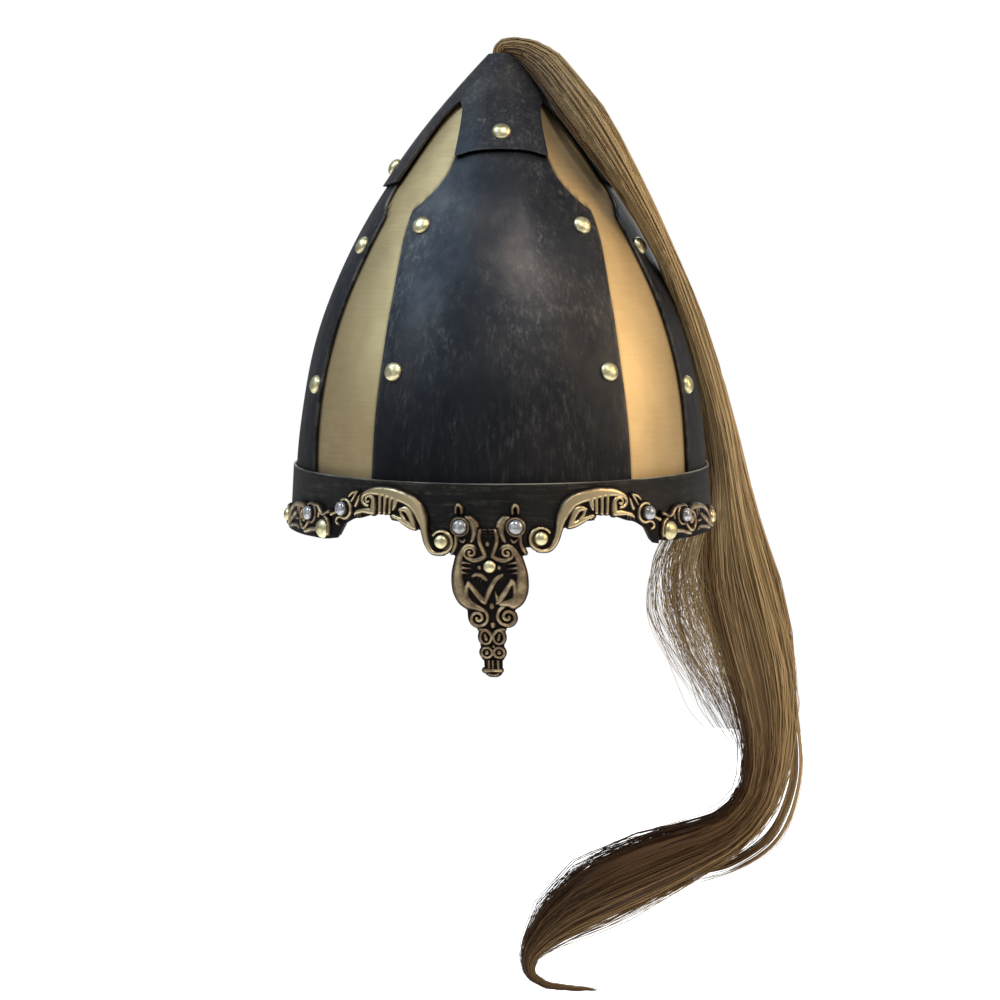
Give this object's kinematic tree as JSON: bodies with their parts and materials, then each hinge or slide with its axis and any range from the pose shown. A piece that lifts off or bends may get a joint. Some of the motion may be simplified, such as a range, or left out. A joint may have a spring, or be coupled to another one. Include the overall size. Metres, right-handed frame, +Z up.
{
  "type": "iron helmet with horsehair plume",
  "caption": "Conical iron and brass plate helmet with a cast brow trim, a nasal guard and a long horsehair plume from its tip.",
  "frame": {"origin": "middle of the head opening, level with the rim: the mount head_seat", "axes": "+Z up through the tip, the nasal guard towards -Y, the plume falls on the +X side"},
  "size_m": [0.2661, 0.2499, 0.4848],
  "materials": {
    "iron": "blackened sheet iron with fine bright scratches",
    "brass": "dull sheet brass, softly brushed",
    "bronze": "cast bronze with dark recesses",
    "rivet_brass": "hammered bright brass",
    "crystal": "pale silvery facets",
    "horsehair": "dark blond horsehair"
  },
  "bodies": {
    "root": {"front_plate": "iron", "right_plate": "iron", "back_plate": "iron", "left_plate": "iron", "apex_cap": "iron", "brow_band": "iron", "brass_gore_1": "brass", "brass_gore_2": "brass", "brass_gore_3": "brass", "brass_gore_4": "brass", "nasal_casting": "bronze", "left_brow_casting": "bronze", "left_side_casting": "bronze", "right_brow_casting": "bronze", "right_side_casting": "bronze", "rear_trim": "bronze", "plate_rivet_1": "rivet_brass", "plate_rivet_2": "rivet_brass", "plate_rivet_3": "rivet_brass", "plate_rivet_4": "rivet_brass", "plate_rivet_5": "rivet_brass", "plate_rivet_6": "rivet_brass", "plate_rivet_7": "rivet_brass", "plate_rivet_8": "rivet_brass", "plate_rivet_9": "rivet_brass", "plate_rivet_10": "rivet_brass", "plate_rivet_11": "rivet_brass", "plate_rivet_12": "rivet_brass", "plate_rivet_13": "rivet_brass", "plate_rivet_14": "rivet_brass", "plate_rivet_15": "rivet_brass", "plate_rivet_16": "rivet_brass", "cap_rivet_1": "rivet_brass", "cap_rivet_2": "rivet_brass", "cap_rivet_3": "rivet_brass", "cap_rivet_4": "rivet_brass", "trim_rivet_nasal": "rivet_brass", "trim_rivet_tail_left": "rivet_brass", "trim_rivet_tail_right": "rivet_brass", "trim_rivet_side_left": "rivet_brass", "trim_rivet_side_right": "rivet_brass", "trim_rivet_rear_left": "rivet_brass", "trim_rivet_rear_right": "rivet_brass", "crystal_nasal_left": "crystal", "crystal_nasal_right": "crystal", "crystal_brow_left": "crystal", "crystal_brow_right": "crystal", "crystal_side_left": "crystal", "crystal_side_right": "crystal", "plume": "horsehair"}
  },
  "joints": []
}
